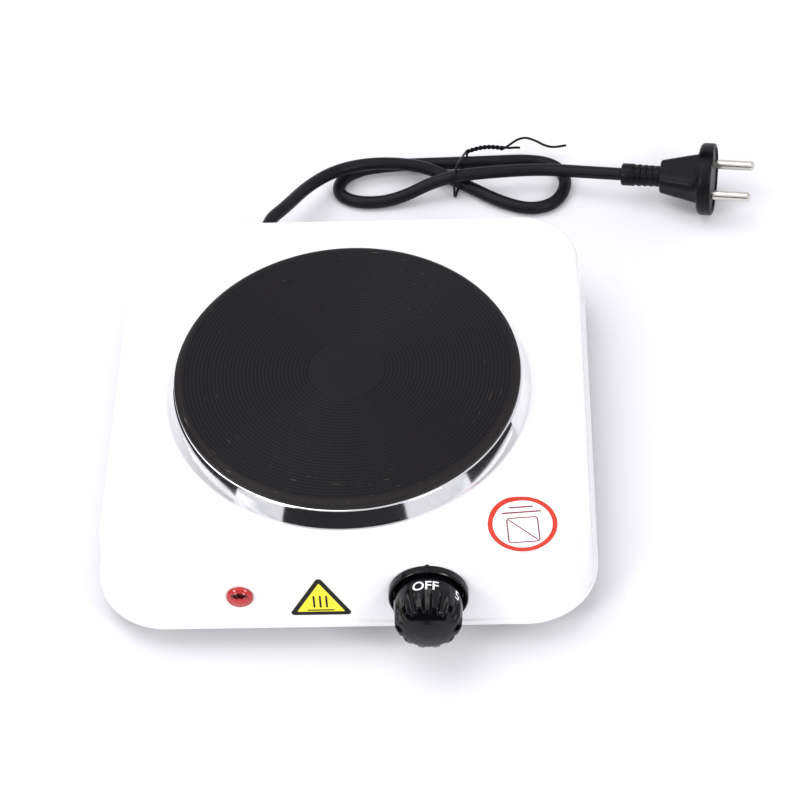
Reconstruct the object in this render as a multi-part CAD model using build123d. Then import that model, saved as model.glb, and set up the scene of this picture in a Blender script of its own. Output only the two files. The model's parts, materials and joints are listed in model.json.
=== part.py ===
"""Single electric hot plate: pressed-steel box, cast-iron plate, thermostat, pilot lamp, lead and plug.

Millimetres. X runs to the right, Y to the rear, Z up. The origin is on the surface the feet stand on,
under the middle of the box that holds everything but the lead.
"""
from build123d import *
from math import cos, sin, tan, pi, radians
import os

# ------------------------------------------------------------------ driving dimensions
PLATE_RADIUS = 77.5
PLATE_TOP = 59.3
SHELL_TOP = 47.0
SHELL_LOW = 13.0
SHEET = 0.8                 # steel sheet of shell and base cover
TOP_WIDTH = 211.0           # shell at its sharp top edge, along X
TOP_DEPTH = 212.8           # the same along Y
CORNER_RADIUS = 28.0        # plan radius at the top edge
EDGE_RADIUS = 4.0           # rounding between top and walls
WALL_LEAN = 5.0             # degrees the walls flare towards the bottom
LIP_OUT, LIP_HIGH = 1.0, 2.8
PLATE_TO_FRONT = 104.1      # plate axis to the shell's front top edge
PANEL_HALF = 96.0           # sunk corner panels: outline of all four
PANEL_CORNER = 20.0
PANEL_ARC = 94.8            # raised round field about the plate
PANEL_GAP = 24.0            # half of the gap between two panels
PANEL_DEPTH = 1.2
RING_FOOT, RING_TOP, RING_HIGH = 82.2, 78.7, 8.3
GROOVE_PITCH = 1.725
KNOB_X, KNOB_DROP = 36.2, 14.0
KNOB_RADIUS, KNOB_REACH = 14.6, 23.3
LAMP_X, LAMP_DROP = -44.3, 14.3
LABEL_X, LABEL_DROP = -10.2, 18.9
DIAL_RANGE = 300.0          # degrees from OFF to the highest mark
PLUNGER_TRAVEL = 1.2
CORD_DIAMETER = 6.4
EXIT_X, EXIT_Z = -45.0, 24.0

LEAN = radians(WALL_LEAN)
WALL_HIGH = SHELL_TOP - SHELL_LOW
FLARE = WALL_HIGH * tan(LEAN)
REAR_LIP = TOP_DEPTH - PLATE_TO_FRONT + FLARE + LIP_OUT
KNOB_END = PLATE_TO_FRONT + KNOB_DROP * tan(LEAN) + KNOB_REACH * cos(LEAN)
PLATE_Y = (KNOB_END - REAR_LIP) / 2          # puts the box's middle at y = 0
SHELL_Y = PLATE_Y - PLATE_TO_FRONT + TOP_DEPTH / 2
FRONT_TOP_Y = PLATE_Y - PLATE_TO_FRONT
REAR_TOP_Y = FRONT_TOP_Y + TOP_DEPTH
BASE_Z = 13.6                                # underside of the base cover
BASE_TOP = BASE_Z + SHEET
UNDER_TOP = SHELL_TOP - SHEET
UNDER_PANEL = UNDER_TOP - PANEL_DEPTH
CORD_R = CORD_DIAMETER / 2

parts = {}


def rod(radius, low, high, x=0.0, y=0.0):
    """Upright cylinder between two heights."""
    return Pos(x, y, (low + high) / 2) * Cylinder(radius, high - low)


def tube(outer, inner, low, high, x=0.0, y=0.0):
    """Upright tube between two heights."""
    return rod(outer, low, high, x, y) - rod(inner, low - 1, high + 1, x, y)


def block(x0, x1, y0, y1, z0, z1):
    """Box between two corners."""
    return Pos((x0 + x1) / 2, (y0 + y1) / 2, (z0 + z1) / 2) * Box(x1 - x0, y1 - y0, z1 - z0)


def hexagon(across, low, high, hole=0.0):
    """Hexagon nut about Z, with a plain hole."""
    body = Pos(0, 0, low) * extrude(RegularPolygon(across / 2, 6, major_radius=False), high - low)
    if hole:
        body = body - rod(hole, low - 1, high + 1)
    return body


def turned(points):
    """Solid of revolution about Z of an outline given as (radius, height)."""
    return revolve(Plane.XZ * make_face(Polyline(*points, close=True)), Axis.Z, 360)


def bent_tube(points, radius, share=0.45, report=""):
    """Round tube along straight runs joined by tangent arcs, each as large as its runs allow."""
    path_points = [Vector(*p) for p in points]
    radii = []
    for before, corner, after in zip(path_points, path_points[1:], path_points[2:]):
        turn = (corner - before).get_angle(after - corner)
        run = min((corner - before).length, (after - corner).length)
        radii.append(share * run / tan(radians(turn / 2)))
    path = FilletPolyline(*path_points, radius=radii)
    start = Plane(origin=path_points[0], z_dir=path_points[1] - path_points[0])
    solid = sweep(start * Circle(radius), path=path)
    if report:
        print(report, "length", round(path.length, 1), "smallest radius", round(min(radii), 1))
        print("  radii", [round(r, 1) for r in radii])
        share_of_volume = solid.volume / (pi * radius**2 * path.length)
        print("  volume over section times length", round(share_of_volume, 4))
    return solid


def on_front(x, drop):
    """Frame on the front wall's outer face: Z points out of the wall, Y up along it."""
    y = FRONT_TOP_Y - drop * tan(LEAN)
    return Plane(origin=(x, y, SHELL_TOP - drop), x_dir=(1, 0, 0), z_dir=(0, -cos(LEAN), sin(LEAN)))


KNOB_AT = on_front(KNOB_X, KNOB_DROP)
LAMP_AT = on_front(LAMP_X, LAMP_DROP)
LABEL_AT = on_front(LABEL_X, LABEL_DROP)


# ------------------------------------------------------------------ shell, base and feet
def flared(inset, top, low):
    """Flared block between two heights whose walls lie a distance inside the shell's outer walls."""
    sink = (SHELL_TOP - top) * tan(LEAN) - inset / cos(LEAN)
    outline = RectangleRounded(TOP_WIDTH + 2 * sink, TOP_DEPTH + 2 * sink, CORNER_RADIUS + sink)
    return extrude(Pos(0, SHELL_Y, top) * outline, top - low, dir=(0, 0, -1), taper=-WALL_LEAN)


def corner_panels(grow, top, depth):
    """Four corner fields between the square outline and the round field about the plate."""
    field = RectangleRounded(2 * (PANEL_HALF + grow), 2 * (PANEL_HALF + grow), PANEL_CORNER + grow)
    gap = PANEL_GAP - grow
    field = field - Circle(PANEL_ARC - grow) - Rectangle(2 * gap, 400) - Rectangle(400, 2 * gap)
    return extrude(Pos(0, PLATE_Y, top) * field, depth, dir=(0, 0, -1))


outer = flared(0, SHELL_TOP, SHELL_LOW)
outer = fillet(outer.edges().group_by(Axis.Z)[-1], EDGE_RADIUS)
hollow = flared(SHEET, UNDER_TOP, SHELL_LOW - 2)
hollow = fillet(hollow.edges().group_by(Axis.Z)[-1], EDGE_RADIUS - SHEET)
grown = FLARE + LIP_OUT
lip = RectangleRounded(TOP_WIDTH + 2 * grown, TOP_DEPTH + 2 * grown, CORNER_RADIUS + grown)
lip = extrude(Pos(0, SHELL_Y, SHELL_LOW) * lip, LIP_HIGH)
lip = fillet(lip.edges().group_by(Axis.Z)[-1], 0.6)
shell = outer + lip - corner_panels(0, SHELL_TOP, PANEL_DEPTH)
shell = shell - (hollow - corner_panels(SHEET, UNDER_TOP, PANEL_DEPTH))
shell = shell - rod(76.5, SHELL_TOP - 5, SHELL_TOP + 5, 0, PLATE_Y)
for place, hole in ((KNOB_AT, 5.5), (LAMP_AT, 4.4)):
    shell = shell - place * Cylinder(hole, 10)
for side in (-1, 1):
    shell = shell - KNOB_AT * Pos(9 * side, 0, 0) * Cylinder(1.6, 10)
shell = shell - Pos(EXIT_X, REAR_TOP_Y + 2, EXIT_Z) * Rot(90, 0, 0) * Cylinder(4.6, 12)
parts["top_shell"] = shell

PILLARS = [(sx * 82.0, PLATE_Y + sy * 82.0) for sy in (-1, 1) for sx in (-1, 1)]
base = flared(SHEET + 0.5, SHELL_TOP, SHELL_LOW) & block(-200, 200, -200, 200, BASE_Z, BASE_TOP)
slots = Sketch()
for row in range(-3, 4):
    for column in (-1, 1):
        slots = slots + Pos(column * 34, PLATE_Y + row * 11) * SlotOverall(34, 4)
base = base - Pos(0, 0, BASE_Z - 1) * extrude(slots, SHEET + 2)
for x, y in PILLARS:
    base = base - rod(2.2, BASE_Z - 1, BASE_TOP + 1, x, y)
parts["base_cover"] = base

FOOT_NAMES = ("foot_front_left", "foot_front_right", "foot_rear_left", "foot_rear_right")
pillars, screws = [], []
for name, (x, y) in zip(FOOT_NAMES, PILLARS):
    foot = turned([(2.1, 5), (2.1, BASE_Z), (9.8, BASE_Z), (8.6, 0.6), (8.0, 0), (4.2, 0), (4.2, 5)])
    parts[name] = Pos(x, y, 0) * foot
    pillars.append(tube(4.5, 2.0, BASE_TOP, UNDER_PANEL, x, y))
    screw = turned([(0, 2.4), (1.4, 2.4), (3.6, 3.2), (3.6, 5), (2.0, 5), (2.0, 28), (0, 29)])
    screws.append(Pos(x, y, 0) * screw)
parts["screw_pillars"] = Compound(pillars)
parts["foot_screws"] = Compound(screws)

# ------------------------------------------------------------------ plate, ring and heating element
SKIRT_LOW = 44.3
FIRST_GROOVE = 17.6
outline = [(0, PLATE_TOP)]
for k in range(33):
    at = FIRST_GROOVE + k * GROOVE_PITCH
    outline += [(at - 0.42, PLATE_TOP), (at, PLATE_TOP - 0.32), (at + 0.42, PLATE_TOP)]
outline += [(74.2, PLATE_TOP), (76.8, PLATE_TOP - 0.7), (PLATE_RADIUS, PLATE_TOP - 1.5)]
outline += [(PLATE_RADIUS, 55.3), (75.0, 55.3), (75.0, SKIRT_LOW), (72.5, SKIRT_LOW), (72.5, 52.3)]
outline += [(24.0, 52.3), (24.0, SKIRT_LOW), (21.5, SKIRT_LOW), (21.5, 51.3), (9.0, 51.3), (9.0, SKIRT_LOW)]
outline += [(3.0, SKIRT_LOW), (3.0, 54.0), (0, 54.0)]
parts["cooking_plate"] = Pos(0, PLATE_Y, 0) * turned(outline)
ring = [(RING_FOOT, SHELL_TOP), (RING_TOP, SHELL_TOP + RING_HIGH), (75.3, SHELL_TOP + RING_HIGH),
        (75.3, SHELL_TOP + RING_HIGH - 0.6), (78.2, SHELL_TOP + RING_HIGH - 0.6), (81.5, SHELL_TOP)]
parts["trim_ring"] = Pos(0, PLATE_Y, 0) * turned(ring)

COILS = {"outer_heating_coil": 60.0, "middle_heating_coil": 48.0, "inner_heating_coil": 36.0}
COIL_Z, COIL_R, COIL_GAP = 49.0, 2.0, 30.0
PIN_SPREAD = 18.0
cement = tube(72.5, 24.0, SKIRT_LOW, 52.3, 0, PLATE_Y)
for name, radius in COILS.items():
    section = Plane.XZ * Pos(radius, COIL_Z) * Circle(COIL_R)
    coil = revolve(section, Axis.Z, 360 - COIL_GAP)
    parts[name] = Pos(0, PLATE_Y, 0) * Rot(0, 0, -90 + COIL_GAP / 2) * coil
    cement = cement - Pos(0, PLATE_Y, COIL_Z) * Torus(radius, COIL_R)
PIN_CIRCLE = COILS["outer_heating_coil"]
PIN_ANGLES = (radians(-90 - PIN_SPREAD), radians(-90 + PIN_SPREAD))
PINS = [(PIN_CIRCLE * cos(a), PLATE_Y + PIN_CIRCLE * sin(a)) for a in PIN_ANGLES]
cover = tube(74.5, 3.2, 43.5, SKIRT_LOW, 0, PLATE_Y)
shield = tube(71.0, 3.2, 38.7, 39.5, 0, PLATE_Y)
for x, y in PINS:
    cement = cement - rod(3.5, SKIRT_LOW - 1, 47, x, y)
    cover = cover - rod(3.5, 40, 46, x, y)
    shield = shield - rod(4.6, 36, 42, x, y)
parts["insulation_cement"] = cement
parts["element_cover"] = cover
parts["heat_shield"] = shield
parts["element_pins"] = Compound([rod(1.5, 32, 47, x, y) for x, y in PINS])
parts["pin_beads"] = Compound([tube(3.5, 1.5, 36.0, 46.4, x, y) for x, y in PINS])

parts["centre_stud"] = rod(3.0, 22.0, 54.0, 0, PLATE_Y)
parts["cover_nut"] = Pos(0, PLATE_Y, 0) * hexagon(10, 39.5, 43.5, 3.0)
parts["shield_nut"] = Pos(0, PLATE_Y, 0) * hexagon(10, 34.7, 38.7, 3.0)
parts["bar_washer"] = tube(7.0, 3.0, 29.0, 30.0, 0, PLATE_Y)
parts["bar_nut"] = Pos(0, PLATE_Y, 0) * hexagon(10, 24.5, 29.0, 3.0)
BAR_LOW, BAR_THICK = 30.0, 2.0
BAR_HALF, BAR_TAB = 82.0, 92.0
BAR_Y = (PLATE_Y - 9, PLATE_Y + 9)
bar = block(-BAR_HALF, BAR_HALF, *BAR_Y, BAR_LOW, BAR_LOW + BAR_THICK)
leg = block(BAR_HALF - BAR_THICK, BAR_HALF, *BAR_Y, BAR_LOW, UNDER_TOP)
leg = leg + block(BAR_HALF - BAR_THICK, BAR_TAB, *BAR_Y, UNDER_TOP - BAR_THICK, UNDER_TOP)
bar = bar + leg + mirror(leg, Plane.YZ)
parts["clamp_bar"] = bar - rod(3.0, 28, 34, 0, PLATE_Y)

# ------------------------------------------------------------------ thermostat, knob and bezel
bracket = Pos(0, 0, -1.4) * Box(28, 18, 1.2)
bracket = bracket + Pos(0, 0, -7.4) * Cylinder(4.9, 15.2)
bracket = bracket - Pos(0, 0, -7) * Cylinder(3.05, 30)
for side in (-1, 1):
    bracket = bracket - Pos(9 * side, 0, -2) * Cylinder(1.5, 6)
parts["thermostat_bracket"] = KNOB_AT * bracket
shaft = rod(3.0, -11.8, 15.0) - block(-5, 5, 2.0, 5, 4.5, 16)
parts["thermostat_shaft"] = KNOB_AT * shaft
PLUNGER_LOW = -17.2         # leaves 0.3 mm to the contact arm at full travel
parts["thermostat_plunger"] = KNOB_AT * rod(2.95, PLUNGER_LOW, -12.3)

STACK_X = -12.0
stack_layers = ((-18.7, -2.0), (-21.1, -19.1), (-23.5, -21.5), (-25.3, -24.3))
rivet_hole = rod(1.5, -30, 0, STACK_X)
insulators = [block(STACK_X - 4, STACK_X + 4, -5, 5, a, b) - rivet_hole for a, b in stack_layers]
insulators[0] = insulators[0] - rod(5.0, -30, 0)
parts["stack_insulators"] = Compound([KNOB_AT * s for s in insulators])
parts["stack_rivet"] = KNOB_AT * (rod(1.5, -25.3, -2.0, STACK_X) + rod(2.6, -26.1, -25.3, STACK_X))


def leaf(low, high, tip, wide=6.0, tab=True):
    """Leaf spring of the thermostat: a flat strip through the stack, with a tab for a wire."""
    start = -26.0 if tab else -16.0
    return block(start, tip, -wide / 2, wide / 2, low, high) - rod(1.5, -30, 0, STACK_X)


arm = leaf(-19.1, -18.7, 8) + rod(2.0, -20.1, -19.1, 5)
fixed = leaf(-21.5, -21.1, 8) + rod(2.0, -21.1, -20.3, 5)
fixed = fixed - block(-30, -22, -10, 10, -25, -15) + block(-26, -16, -9, -3, -21.5, -21.1)
parts["contact_arm"] = KNOB_AT * arm
parts["fixed_contact"] = KNOB_AT * fixed
parts["bimetal_strip"] = KNOB_AT * leaf(-24.3, -23.5, 11, wide=7, tab=False)

bezel_profile = [(6.5, 0), (17.1, 0), (16.8, 4.0), (15.6, 4.0), (15.3, 3.4), (15.3, 1.0), (6.5, 1.0)]
bezel = turned(bezel_profile) + Pos(0, 17.0, 2.1) * Box(1.7, 1.8, 4.2)
KNOB_LOW, KNOB_ROOF, BORE_END = 2.6, 16.5, 15.2
knob_outside = [(0, KNOB_REACH), (5.0, KNOB_REACH - 0.25), (9.5, KNOB_REACH - 1.0), (11.7, KNOB_REACH - 2.0),
                (13.5, KNOB_REACH - 3.9), (14.3, KNOB_REACH - 6.4), (KNOB_RADIUS, 13),
                (KNOB_RADIUS, KNOB_LOW)]
knob_inside = [(13.0, KNOB_LOW), (12.4, KNOB_ROOF), (5.0, KNOB_ROOF), (5.0, 3.2), (3.0, 3.2),
               (3.0, BORE_END), (0, BORE_END)]
knob = turned(knob_outside + knob_inside)
FLUTES = 12
for k in range(FLUTES):
    cutter = Pos(KNOB_RADIUS + 3.4, 0, 16.0) * Rot(0, -9, 0) * Cylinder(4.2, 18)
    knob = knob - Rot(0, 0, 360 / FLUTES * (k + 0.5)) * cutter
for side in (-1, 1):
    bezel = bezel - Pos(9 * side, 0, 0) * Cylinder(1.6, 6)
parts["knob_bezel"] = KNOB_AT * bezel
parts["knob"] = KNOB_AT * knob
clip = block(-1.7, 1.7, 2.0, 2.4, 5, 13.5)
parts["knob_clip"] = KNOB_AT * clip
bezel_screw = rod(1.5, -2.0, 1.0) + rod(2.6, 1.0, 2.1)
parts["bezel_screws"] = Compound([KNOB_AT * Pos(9 * side, 0, 0) * bezel_screw for side in (-1, 1)])

# ------------------------------------------------------------------ pilot lamp and labels
lens = turned([(0, 0.9), (3.4, 0.2), (3.4, -12), (4.2, -12), (4.2, 0), (5.8, 0), (5.8, 1.0), (5.3, 2.0),
               (4.0, 2.9), (2.2, 3.4), (0, 3.6)])
parts["lamp_lens"] = LAMP_AT * lens
bulb = turned([(0, -9.5), (2.5, -9.5), (2.5, -2.2), (1.8, -0.9), (0, -0.4)])
parts["neon_bulb"] = LAMP_AT * bulb
parts["lamp_retainer"] = LAMP_AT * tube(7.6, 4.2, -1.5, -0.8)
parts["lamp_cap"] = LAMP_AT * (rod(4.2, -14, -12) + rod(3.4, -12, -9.5))

LABEL_SIDE, LABEL_THICK = 28.0, 0.15
triangle = Triangle(a=LABEL_SIDE, b=LABEL_SIDE, c=LABEL_SIDE)
triangle = fillet(triangle.vertices(), 1.6)
triangle = Pos(-triangle.center().X, -triangle.center().Y) * triangle
parts["heat_label"] = LABEL_AT * extrude(triangle, LABEL_THICK)
ROUND_X, ROUND_Y, ROUND_R = 76.7, PLATE_Y - 79.2, 14.9
PANEL_TOP = SHELL_TOP - PANEL_DEPTH
parts["caution_label"] = rod(ROUND_R, PANEL_TOP, PANEL_TOP + LABEL_THICK, ROUND_X, ROUND_Y)

# ------------------------------------------------------------------ cord entry and terminal block
REAR_AT = Pos(EXIT_X, 0, EXIT_Z) * Rot(-90, 0, 0)    # local Z runs to the rear
wall_out = REAR_TOP_Y + (SHELL_TOP - EXIT_Z) * tan(LEAN)
RELIEF_END = wall_out + 14.5
RELIEF_IN = wall_out - 7.5
relief = turned([(0, RELIEF_IN), (6.4, RELIEF_IN), (6.4, wall_out - 2.2), (4.5, wall_out - 2.2),
                 (4.5, wall_out + 1.2), (6.2, wall_out + 1.2), (6.2, wall_out + 3.2), (4.7, wall_out + 5.0),
                 (3.9, RELIEF_END), (0, RELIEF_END)])
parts["cord_relief"] = REAR_AT * relief

TAIL_END = RELIEF_IN - 14.0
tail = rod(CORD_R, TAIL_END, RELIEF_IN)
parts["cord_tail"] = REAR_AT * tail
SADDLE_MID, SADDLE_TOP = TAIL_END + 7, EXIT_Z + 5
saddle = block(EXIT_X - 9, EXIT_X + 9, SADDLE_MID - 4, SADDLE_MID + 4, BASE_TOP, SADDLE_TOP)
saddle = saddle - Pos(EXIT_X, SADDLE_MID, EXIT_Z) * Rot(90, 0, 0) * Cylinder(CORD_R, 20)
saddle_screws = []
for side in (-1, 1):
    x = EXIT_X + side * 6.4
    saddle = saddle - rod(1.5, BASE_TOP - 1, SADDLE_TOP + 1, x, SADDLE_MID)
    head = rod(2.4, SADDLE_TOP, SADDLE_TOP + 1.4, x, SADDLE_MID)
    saddle_screws.append(rod(1.5, BASE_TOP, SADDLE_TOP, x, SADDLE_MID) + head)
parts["cord_saddle"] = saddle
parts["saddle_screws"] = Compound(saddle_screws)

BLOCK_Y1 = TAIL_END - 13.0
BLOCK_Y0 = BLOCK_Y1 - 16.0
BLOCK_MID = (BLOCK_Y0 + BLOCK_Y1) / 2
BLOCK_Z, BLOCK_TOP = 21.0, 27.0
BORES = (EXIT_X - 7.0, EXIT_X + 7.0)
SCREW_SHIFT = 3.6
ceramic = block(EXIT_X - 15, EXIT_X + 15, BLOCK_Y0, BLOCK_Y1, BASE_TOP, BLOCK_TOP)
ceramic = ceramic - rod(1.6, BASE_TOP - 1, BLOCK_TOP + 1, EXIT_X, BLOCK_MID)
fixing = rod(1.6, BASE_TOP, BLOCK_TOP, EXIT_X, BLOCK_MID)
fixing = fixing + rod(3.0, BLOCK_TOP, BLOCK_TOP + 1.4, EXIT_X, BLOCK_MID)
inserts, clamps = [], [fixing]
for x in BORES:
    bore = Pos(x, BLOCK_MID, BLOCK_Z) * Rot(90, 0, 0)
    ceramic = ceramic - bore * Cylinder(2.7, 30)
    insert = bore * (Cylinder(2.7, 14) - Cylinder(1.5, 30))
    for y in (BLOCK_MID - SCREW_SHIFT, BLOCK_MID + SCREW_SHIFT):
        ceramic = ceramic - rod(1.9, BLOCK_Z, BLOCK_TOP + 1, x, y)
        insert = insert - rod(1.3, BLOCK_Z, BLOCK_TOP, x, y)
        clamps.append(rod(1.3, BLOCK_Z + 1.4, BLOCK_TOP - 1, x, y))
    inserts.append(insert)
parts["terminal_block"] = ceramic
parts["terminal_inserts"] = Compound(inserts)
parts["terminal_screws"] = Compound(clamps)

# ------------------------------------------------------------------ wires inside the box
WIRE_R = 1.2
TAB_A = KNOB_AT.from_local_coords(Vector(-24.4, 0, -20.4))
TAB_B = KNOB_AT.from_local_coords(Vector(-23, -6, -22.8))
FUSE_X, FUSE_Z = -46.0, 27.9
PIN_LEFT, PIN_RIGHT = PINS
ROUTES = {
    "live_wire": [
        (BORES[0], BLOCK_Y0 - 0.1, BLOCK_Z), (BORES[0], BLOCK_Y0 - 10, 20), (-68, 50, 17.5), (-69, -40, 17.5),
        (-40, -76, 18), (TAB_A.X - 12, TAB_A.Y + 6, TAB_A.Z - 3), tuple(TAB_A)],
    "switched_wire": [
        tuple(TAB_B), (TAB_B.X + 3, TAB_B.Y + 8, TAB_B.Z), (PIN_RIGHT[0] + 2, PIN_RIGHT[1] - 5, 22),
        (*PIN_RIGHT, 26), (*PIN_RIGHT, 31.8)],
    "neutral_wire": [
        (BORES[1], BLOCK_Y0 - 0.1, BLOCK_Z), (BORES[1], BLOCK_Y0 - 10, 21), (FUSE_X - 1, PLATE_Y + 24, 25),
        (FUSE_X, PLATE_Y + 16, FUSE_Z), (FUSE_X, PLATE_Y + 8.2, FUSE_Z)],
    "fuse_wire": [
        (FUSE_X, PLATE_Y - 8.2, FUSE_Z), (FUSE_X, PLATE_Y - 16, FUSE_Z), (-34, PLATE_Y - 44, 22),
        (PIN_LEFT[0] - 2, PIN_LEFT[1] + 1, 23), (*PIN_LEFT, 27), (*PIN_LEFT, 31.8)],
}
for name, x, side in (("live_core", BORES[0], -1), ("neutral_core", BORES[1], 1)):
    core_x = EXIT_X + side * 1.4
    ROUTES[name] = [(core_x, TAIL_END, EXIT_Z), (core_x, TAIL_END - 4, EXIT_Z),
                    (x, BLOCK_Y1 + 4, BLOCK_Z + 0.4), (x, BLOCK_Y1, BLOCK_Z)]
for name, route in ROUTES.items():
    parts[name] = bent_tube(route, WIRE_R)
fuse = Pos(FUSE_X, PLATE_Y, FUSE_Z) * Rot(90, 0, 0) * Cylinder(2.1, 16.4)
parts["thermal_fuse"] = fuse

# ------------------------------------------------------------------ lead, tie and plug
CORD_START = (EXIT_X, RELIEF_END, EXIT_Z)
PLUG_HEADING, PLUG_RISE, PLUG_ROLL = radians(-11.0), radians(4.0), 11.0
PLUG_DIR = Vector(cos(PLUG_RISE) * cos(PLUG_HEADING), cos(PLUG_RISE) * sin(PLUG_HEADING), sin(PLUG_RISE))
PLUG_START = Vector(131.2, 176.3, 15.2)
LAST_RUN = 19.0
LAST_CORNER = PLUG_START - PLUG_DIR * LAST_RUN
CORD_ROUTE = [
    CORD_START, (EXIT_X, 139.6, EXIT_Z), (-37.4, 152.0, 20.8), (-27.4, 173.4, 14.8), (-13.4, 188.1, 11.8),
    (6.1, 193.5, 11.2), (29.4, 192.9, 9.0), (44.1, 187.1, 5.4), (78.8, 164.3, 3.2), (98.3, 167.5, 3.2),
    (105.1, 186.8, 3.2), (94.1, 201.4, 3.2), (57.0, 198.0, 5.4), (6.5, 199.8, 3.2), (-10.6, 192.4, 3.2),
    (-13.9, 179.6, 3.2), (-2.9, 172.0, 3.2), (16.4, 172.9, 3.4), (40.5, 180.0, 12.4), (65.7, 183.2, 12.4),
    (91.5, 184.6, 12.2), tuple(LAST_CORNER), tuple(PLUG_START),
]
parts["power_cord"] = bent_tube(CORD_ROUTE, CORD_R, report="cord")

TIE_X, TIE_R = 53.0, 0.65
TIE_LEAN = 0.24                              # the loop's plane leans: its front is further left
tie_corners = [(203.4, 0.75), (203.4, 8.8), (185.0, 17.0), (176.6, 16.6), (176.6, 0.75)]
tie_loop = [(TIE_X - TIE_LEAN * (203.4 - y), y, z) for y, z in tie_corners]
tie_path = FilletPolyline(*tie_loop, radius=2.6, close=True)
tie = sweep(Plane(origin=tie_path @ 0, z_dir=tie_path % 0) * Circle(TIE_R), path=tie_path)
TIE_KNOT, TIE_SPLIT = (TIE_X, 203.4, 7.6), (71.5, 204.8, 8.6)
tie = tie + bent_tube([TIE_KNOT, (61.0, 205.0, 9.0), TIE_SPLIT], 1.1)
tie = tie + bent_tube([TIE_SPLIT, (75.8, 205.6, 8.6), (80.4, 205.6, 8.0)], TIE_R)
long_tail = [TIE_SPLIT, (77.0, 210.3, 8.9), (83.6, 213.4, 8.4), (92.5, 207.6, 7.2), (97.6, 206.8, 6.6),
             (104.2, 208.3, 6.4)]
tie = tie + bent_tube(long_tail, TIE_R)
parts["twist_tie"] = tie

PLUG_AT = Plane(origin=PLUG_START, x_dir=(sin(radians(11)), cos(radians(11)), 0), z_dir=PLUG_DIR)
COLLAR, BODY, DISC = 19.5, 39.0, 46.5
grip = [(0, 0), (5.2, 0), (5.6, 0.5), (5.6, 6.5)]
for k in range(4):
    low = 6.6 + 3.1 * k
    rib = 5.5 - 0.08 * k
    grip += [(4.5, low + 0.1), (4.5, low + 1.3), (rib, low + 1.5), (rib, low + 2.9)]
grip += [(5.1, COLLAR), (0, COLLAR)]
plug_body = turned(grip)
root = Pos(0, 0, COLLAR) * RectangleRounded(15, 13, 4)
head = Pos(0, 0, BODY) * RectangleRounded(23.5, 17, 5)
plug_body = plug_body + loft([root, head])
disc = Pos(0, 0, BODY) * extrude(Circle(18.0), DISC - BODY)
disc = chamfer(disc.edges().group_by(Axis.Z)[0], 1.2)
for side in (-1, 1):
    disc = disc - Pos(0, side * 18.6, BODY + 4) * Box(7.0, 5.2, 12)
plug_body = plug_body + disc
PIN_SPACING, PIN_LENGTH, PIN_R = 19.0, 19.0, 2.4
ROOT_R, ROOT_DEEP, ROOT_OUT = 2.2, 8.0, 0.6    # thinner root of each pin, moulded into the body
pins = []
for x in (-PIN_SPACING / 2, PIN_SPACING / 2):
    plug_body = plug_body - rod(ROOT_R, DISC - ROOT_DEEP, DISC + 1, x)
    pin = rod(PIN_R, DISC + ROOT_OUT, DISC + PIN_LENGTH, x)
    pin = fillet(pin.edges().group_by(Axis.Z)[-1], 1.8)
    pins.append(pin + rod(ROOT_R, DISC - ROOT_DEEP, DISC + ROOT_OUT, x))
TURN = Rot(0, 0, PLUG_ROLL)
parts["plug_body"] = PLUG_AT * TURN * plug_body
parts["plug_pins"] = Compound([PLUG_AT * TURN * pin for pin in pins])

# ------------------------------------------------------------------ write
os.makedirs("parts", exist_ok=True)
for old in os.listdir("parts"):
    os.remove(os.path.join("parts", old))
for name, solid in parts.items():
    solid.label = name
    export_step(solid, f"parts/{name}.step")
print(len(parts), "nodes, plate axis at y =", round(PLATE_Y, 3))
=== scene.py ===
# %% [markdown]
# # A single electric hot plate
#
# A white enamelled steel box carries one cast-iron plate in a chromed ring. On its front wall are a
# pilot lamp, a heat sign and a thermostat knob; a tied lead with a two-pin plug lies behind it.
#
# The measured design comes first: it is loaded as a fixed frame, and each surface that shows is then
# worked out again as a smooth shape of its own, in metres, on the same axes. X runs to the right, Y to
# the rear and Z up.

# %% Load the frame
import json
import bmesh
import bpy
import numpy as np
from mathutils import Matrix, Vector


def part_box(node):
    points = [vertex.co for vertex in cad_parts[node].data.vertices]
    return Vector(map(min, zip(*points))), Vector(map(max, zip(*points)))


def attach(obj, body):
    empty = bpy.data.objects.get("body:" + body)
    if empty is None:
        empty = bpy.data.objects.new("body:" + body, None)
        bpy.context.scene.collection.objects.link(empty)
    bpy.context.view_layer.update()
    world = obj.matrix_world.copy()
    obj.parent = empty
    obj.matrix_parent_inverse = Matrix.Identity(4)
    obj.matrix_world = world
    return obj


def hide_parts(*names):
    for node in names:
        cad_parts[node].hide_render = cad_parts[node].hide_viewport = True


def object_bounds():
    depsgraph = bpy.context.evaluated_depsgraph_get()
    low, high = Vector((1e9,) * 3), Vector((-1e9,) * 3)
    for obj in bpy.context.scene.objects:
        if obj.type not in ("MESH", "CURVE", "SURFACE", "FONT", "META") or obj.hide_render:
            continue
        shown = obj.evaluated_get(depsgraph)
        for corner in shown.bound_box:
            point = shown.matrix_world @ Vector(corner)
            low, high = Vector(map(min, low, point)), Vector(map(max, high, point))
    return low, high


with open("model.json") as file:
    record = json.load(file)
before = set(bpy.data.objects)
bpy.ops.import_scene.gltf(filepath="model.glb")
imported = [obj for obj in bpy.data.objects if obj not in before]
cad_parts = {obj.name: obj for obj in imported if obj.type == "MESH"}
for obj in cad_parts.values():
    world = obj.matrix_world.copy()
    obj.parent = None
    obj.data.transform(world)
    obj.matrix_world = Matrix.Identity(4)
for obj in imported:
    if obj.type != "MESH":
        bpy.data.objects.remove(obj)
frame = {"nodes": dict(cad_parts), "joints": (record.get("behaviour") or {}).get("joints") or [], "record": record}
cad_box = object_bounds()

scene = bpy.context.scene
MM = 0.001
for corner in cad_box:
    print("corner of the design's box, mm:", [round(v / MM, 1) for v in corner])

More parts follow.
